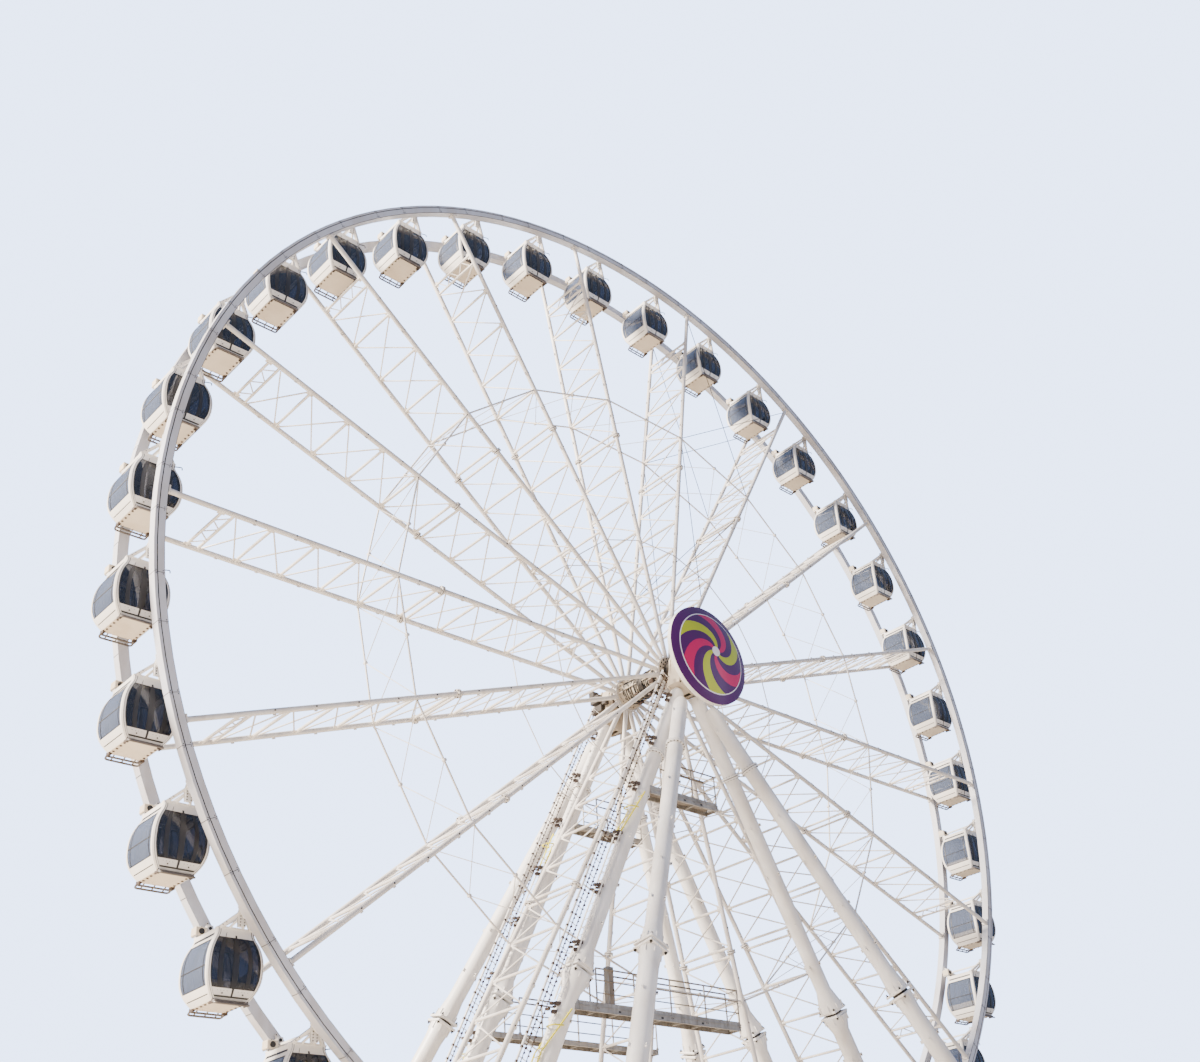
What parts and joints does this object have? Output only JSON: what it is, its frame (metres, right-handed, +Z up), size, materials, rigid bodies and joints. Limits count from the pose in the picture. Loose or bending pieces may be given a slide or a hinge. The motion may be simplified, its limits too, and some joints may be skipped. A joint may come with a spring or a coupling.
{
  "type": "scale model of a giant observation wheel",
  "caption": "1:10 model of a transportable observation wheel: twin rims on ladder spokes turn on an axle carried by slanted tube legs, and glazed cabins between the rims stay level.",
  "frame": {"origin": "on the ground below the middle of the axle", "axes": "+Z up, Y along the axle with the round sign's side facing -Y, X across the wheel"},
  "size_m": [4.2862, 1.79, 4.543],
  "materials": {
    "cabin_shell": "gloss white paint",
    "rim_paint": "satin white paint",
    "spoke_paint": "satin white paint",
    "hub_paint": "satin beige paint",
    "leg_paint": "satin white paint",
    "sign_face": "backlit plastic"
  },
  "bodies": {
    "base": {"front_left_leg": "leg_paint", "front_left_outrigger": "leg_paint", "front_right_leg": "leg_paint", "front_right_outrigger": "leg_paint", "rear_left_leg": "leg_paint", "rear_left_outrigger": "leg_paint", "rear_right_leg": "leg_paint", "rear_right_outrigger": "leg_paint", "front_bearing_head": "hub_paint", "rear_bearing_head": "hub_paint", "round_sign": "sign_face"},
    "wheel": {"front_rim": "rim_paint", "rear_rim": "rim_paint", "hub_spindle": "hub_paint", "spokes_1": "spoke_paint", "spokes_2": "spoke_paint", "spokes_3": "spoke_paint", "spokes_4": "spoke_paint", "spokes_5": "spoke_paint", "spokes_6": "spoke_paint", "spokes_7": "spoke_paint", "spokes_8": "spoke_paint", "spokes_9": "spoke_paint"},
    "cabin_01": {"cabin_01": "cabin_shell"},
    "cabin_02": {"cabin_02": "cabin_shell"},
    "cabin_03": {"cabin_03": "cabin_shell"},
    "cabin_04": {"cabin_04": "cabin_shell"},
    "cabin_05": {"cabin_05": "cabin_shell"},
    "cabin_06": {"cabin_06": "cabin_shell"},
    "cabin_07": {"cabin_07": "cabin_shell"},
    "cabin_08": {"cabin_08": "cabin_shell"},
    "cabin_09": {"cabin_09": "cabin_shell"},
    "cabin_10": {"cabin_10": "cabin_shell"},
    "cabin_11": {"cabin_11": "cabin_shell"},
    "cabin_12": {"cabin_12": "cabin_shell"},
    "cabin_13": {"cabin_13": "cabin_shell"},
    "cabin_14": {"cabin_14": "cabin_shell"},
    "cabin_15": {"cabin_15": "cabin_shell"},
    "cabin_16": {"cabin_16": "cabin_shell"},
    "cabin_17": {"cabin_17": "cabin_shell"},
    "cabin_18": {"cabin_18": "cabin_shell"},
    "cabin_19": {"cabin_19": "cabin_shell"},
    "cabin_20": {"cabin_20": "cabin_shell"},
    "cabin_21": {"cabin_21": "cabin_shell"},
    "cabin_22": {"cabin_22": "cabin_shell"},
    "cabin_23": {"cabin_23": "cabin_shell"},
    "cabin_24": {"cabin_24": "cabin_shell"},
    "cabin_25": {"cabin_25": "cabin_shell"},
    "cabin_26": {"cabin_26": "cabin_shell"},
    "cabin_27": {"cabin_27": "cabin_shell"},
    "cabin_28": {"cabin_28": "cabin_shell"},
    "cabin_29": {"cabin_29": "cabin_shell"},
    "cabin_30": {"cabin_30": "cabin_shell"},
    "cabin_31": {"cabin_31": "cabin_shell"},
    "cabin_32": {"cabin_32": "cabin_shell"},
    "cabin_33": {"cabin_33": "cabin_shell"},
    "cabin_34": {"cabin_34": "cabin_shell"},
    "cabin_35": {"cabin_35": "cabin_shell"},
    "cabin_36": {"cabin_36": "cabin_shell"}
  },
  "joints": [
    {"name": "wheel_spin", "type": "hinge", "parent": "base", "child": "wheel", "pos_m": [0, 0, 2.46], "axis": [0, 1, 0], "continuous": true},
    {"name": "cabin_01_swing", "type": "hinge", "parent": "wheel", "child": "cabin_01", "pos_m": [2.06212, 0, 2.64041], "axis": [0, 1, 0], "continuous": true},
    {"name": "cabin_02_swing", "type": "hinge", "parent": "wheel", "child": "cabin_02", "pos_m": [1.99947, 0, 2.99575], "axis": [0, 1, 0], "continuous": true},
    {"name": "cabin_03_swing", "type": "hinge", "parent": "wheel", "child": "cabin_03", "pos_m": [1.87606, 0, 3.33482], "axis": [0, 1, 0], "continuous": true},
    {"name": "cabin_04_swing", "type": "hinge", "parent": "wheel", "child": "cabin_04", "pos_m": [1.69565, 0, 3.6473], "axis": [0, 1, 0], "continuous": true},
    {"name": "cabin_05_swing", "type": "hinge", "parent": "wheel", "child": "cabin_05", "pos_m": [1.46371, 0, 3.92371], "axis": [0, 1, 0], "continuous": true},
    {"name": "cabin_06_swing", "type": "hinge", "parent": "wheel", "child": "cabin_06", "pos_m": [1.1873, 0, 4.15564], "axis": [0, 1, 0], "continuous": true},
    {"name": "cabin_07_swing", "type": "hinge", "parent": "wheel", "child": "cabin_07", "pos_m": [0.87482, 0, 4.33606], "axis": [0, 1, 0], "continuous": true},
    {"name": "cabin_08_swing", "type": "hinge", "parent": "wheel", "child": "cabin_08", "pos_m": [0.53575, 0, 4.45947], "axis": [0, 1, 0], "continuous": true},
    {"name": "cabin_09_swing", "type": "hinge", "parent": "wheel", "child": "cabin_09", "pos_m": [0.18041, 0, 4.52212], "axis": [0, 1, 0], "continuous": true},
    {"name": "cabin_10_swing", "type": "hinge", "parent": "wheel", "child": "cabin_10", "pos_m": [-0.18041, 0, 4.52212], "axis": [0, 1, 0], "continuous": true},
    {"name": "cabin_11_swing", "type": "hinge", "parent": "wheel", "child": "cabin_11", "pos_m": [-0.53575, 0, 4.45947], "axis": [0, 1, 0], "continuous": true},
    {"name": "cabin_12_swing", "type": "hinge", "parent": "wheel", "child": "cabin_12", "pos_m": [-0.87482, 0, 4.33606], "axis": [0, 1, 0], "continuous": true},
    {"name": "cabin_13_swing", "type": "hinge", "parent": "wheel", "child": "cabin_13", "pos_m": [-1.1873, 0, 4.15564], "axis": [0, 1, 0], "continuous": true},
    {"name": "cabin_14_swing", "type": "hinge", "parent": "wheel", "child": "cabin_14", "pos_m": [-1.46371, 0, 3.92371], "axis": [0, 1, 0], "continuous": true},
    {"name": "cabin_15_swing", "type": "hinge", "parent": "wheel", "child": "cabin_15", "pos_m": [-1.69565, 0, 3.6473], "axis": [0, 1, 0], "continuous": true},
    {"name": "cabin_16_swing", "type": "hinge", "parent": "wheel", "child": "cabin_16", "pos_m": [-1.87606, 0, 3.33482], "axis": [0, 1, 0], "continuous": true},
    {"name": "cabin_17_swing", "type": "hinge", "parent": "wheel", "child": "cabin_17", "pos_m": [-1.99947, 0, 2.99575], "axis": [0, 1, 0], "continuous": true},
    {"name": "cabin_18_swing", "type": "hinge", "parent": "wheel", "child": "cabin_18", "pos_m": [-2.06212, 0, 2.64041], "axis": [0, 1, 0], "continuous": true},
    {"name": "cabin_19_swing", "type": "hinge", "parent": "wheel", "child": "cabin_19", "pos_m": [-2.06212, 0, 2.27959], "axis": [0, 1, 0], "continuous": true},
    {"name": "cabin_20_swing", "type": "hinge", "parent": "wheel", "child": "cabin_20", "pos_m": [-1.99947, 0, 1.92424], "axis": [0, 1, 0], "continuous": true},
    {"name": "cabin_21_swing", "type": "hinge", "parent": "wheel", "child": "cabin_21", "pos_m": [-1.87606, 0, 1.58518], "axis": [0, 1, 0], "continuous": true},
    {"name": "cabin_22_swing", "type": "hinge", "parent": "wheel", "child": "cabin_22", "pos_m": [-1.69565, 0, 1.2727], "axis": [0, 1, 0], "continuous": true},
    {"name": "cabin_23_swing", "type": "hinge", "parent": "wheel", "child": "cabin_23", "pos_m": [-1.46371, 0, 0.99629], "axis": [0, 1, 0], "continuous": true},
    {"name": "cabin_24_swing", "type": "hinge", "parent": "wheel", "child": "cabin_24", "pos_m": [-1.1873, 0, 0.76436], "axis": [0, 1, 0], "continuous": true},
    {"name": "cabin_25_swing", "type": "hinge", "parent": "wheel", "child": "cabin_25", "pos_m": [-0.87482, 0, 0.58394], "axis": [0, 1, 0], "continuous": true},
    {"name": "cabin_26_swing", "type": "hinge", "parent": "wheel", "child": "cabin_26", "pos_m": [-0.53575, 0, 0.46053], "axis": [0, 1, 0], "continuous": true},
    {"name": "cabin_27_swing", "type": "hinge", "parent": "wheel", "child": "cabin_27", "pos_m": [-0.18041, 0, 0.39788], "axis": [0, 1, 0], "continuous": true},
    {"name": "cabin_28_swing", "type": "hinge", "parent": "wheel", "child": "cabin_28", "pos_m": [0.18041, 0, 0.39788], "axis": [0, 1, 0], "continuous": true},
    {"name": "cabin_29_swing", "type": "hinge", "parent": "wheel", "child": "cabin_29", "pos_m": [0.53575, 0, 0.46053], "axis": [0, 1, 0], "continuous": true},
    {"name": "cabin_30_swing", "type": "hinge", "parent": "wheel", "child": "cabin_30", "pos_m": [0.87482, 0, 0.58394], "axis": [0, 1, 0], "continuous": true},
    {"name": "cabin_31_swing", "type": "hinge", "parent": "wheel", "child": "cabin_31", "pos_m": [1.1873, 0, 0.76436], "axis": [0, 1, 0], "continuous": true},
    {"name": "cabin_32_swing", "type": "hinge", "parent": "wheel", "child": "cabin_32", "pos_m": [1.46371, 0, 0.99629], "axis": [0, 1, 0], "continuous": true},
    {"name": "cabin_33_swing", "type": "hinge", "parent": "wheel", "child": "cabin_33", "pos_m": [1.69565, 0, 1.2727], "axis": [0, 1, 0], "continuous": true},
    {"name": "cabin_34_swing", "type": "hinge", "parent": "wheel", "child": "cabin_34", "pos_m": [1.87606, 0, 1.58518], "axis": [0, 1, 0], "continuous": true},
    {"name": "cabin_35_swing", "type": "hinge", "parent": "wheel", "child": "cabin_35", "pos_m": [1.99947, 0, 1.92424], "axis": [0, 1, 0], "continuous": true},
    {"name": "cabin_36_swing", "type": "hinge", "parent": "wheel", "child": "cabin_36", "pos_m": [2.06212, 0, 2.27959], "axis": [0, 1, 0], "continuous": true}
  ],
  "couplings": [
    {"joint": "cabin_01_swing", "follows": "wheel_spin", "ratio": -1},
    {"joint": "cabin_02_swing", "follows": "wheel_spin", "ratio": -1},
    {"joint": "cabin_03_swing", "follows": "wheel_spin", "ratio": -1},
    {"joint": "cabin_04_swing", "follows": "wheel_spin", "ratio": -1},
    {"joint": "cabin_05_swing", "follows": "wheel_spin", "ratio": -1},
    {"joint": "cabin_06_swing", "follows": "wheel_spin", "ratio": -1},
    {"joint": "cabin_07_swing", "follows": "wheel_spin", "ratio": -1},
    {"joint": "cabin_08_swing", "follows": "wheel_spin", "ratio": -1},
    {"joint": "cabin_09_swing", "follows": "wheel_spin", "ratio": -1},
    {"joint": "cabin_10_swing", "follows": "wheel_spin", "ratio": -1},
    {"joint": "cabin_11_swing", "follows": "wheel_spin", "ratio": -1},
    {"joint": "cabin_12_swing", "follows": "wheel_spin", "ratio": -1},
    {"joint": "cabin_13_swing", "follows": "wheel_spin", "ratio": -1},
    {"joint": "cabin_14_swing", "follows": "wheel_spin", "ratio": -1},
    {"joint": "cabin_15_swing", "follows": "wheel_spin", "ratio": -1},
    {"joint": "cabin_16_swing", "follows": "wheel_spin", "ratio": -1},
    {"joint": "cabin_17_swing", "follows": "wheel_spin", "ratio": -1},
    {"joint": "cabin_18_swing", "follows": "wheel_spin", "ratio": -1},
    {"joint": "cabin_19_swing", "follows": "wheel_spin", "ratio": -1},
    {"joint": "cabin_20_swing", "follows": "wheel_spin", "ratio": -1},
    {"joint": "cabin_21_swing", "follows": "wheel_spin", "ratio": -1},
    {"joint": "cabin_22_swing", "follows": "wheel_spin", "ratio": -1},
    {"joint": "cabin_23_swing", "follows": "wheel_spin", "ratio": -1},
    {"joint": "cabin_24_swing", "follows": "wheel_spin", "ratio": -1},
    {"joint": "cabin_25_swing", "follows": "wheel_spin", "ratio": -1},
    {"joint": "cabin_26_swing", "follows": "wheel_spin", "ratio": -1},
    {"joint": "cabin_27_swing", "follows": "wheel_spin", "ratio": -1},
    {"joint": "cabin_28_swing", "follows": "wheel_spin", "ratio": -1},
    {"joint": "cabin_29_swing", "follows": "wheel_spin", "ratio": -1},
    {"joint": "cabin_30_swing", "follows": "wheel_spin", "ratio": -1},
    {"joint": "cabin_31_swing", "follows": "wheel_spin", "ratio": -1},
    {"joint": "cabin_32_swing", "follows": "wheel_spin", "ratio": -1},
    {"joint": "cabin_33_swing", "follows": "wheel_spin", "ratio": -1},
    {"joint": "cabin_34_swing", "follows": "wheel_spin", "ratio": -1},
    {"joint": "cabin_35_swing", "follows": "wheel_spin", "ratio": -1},
    {"joint": "cabin_36_swing", "follows": "wheel_spin", "ratio": -1}
  ]
}
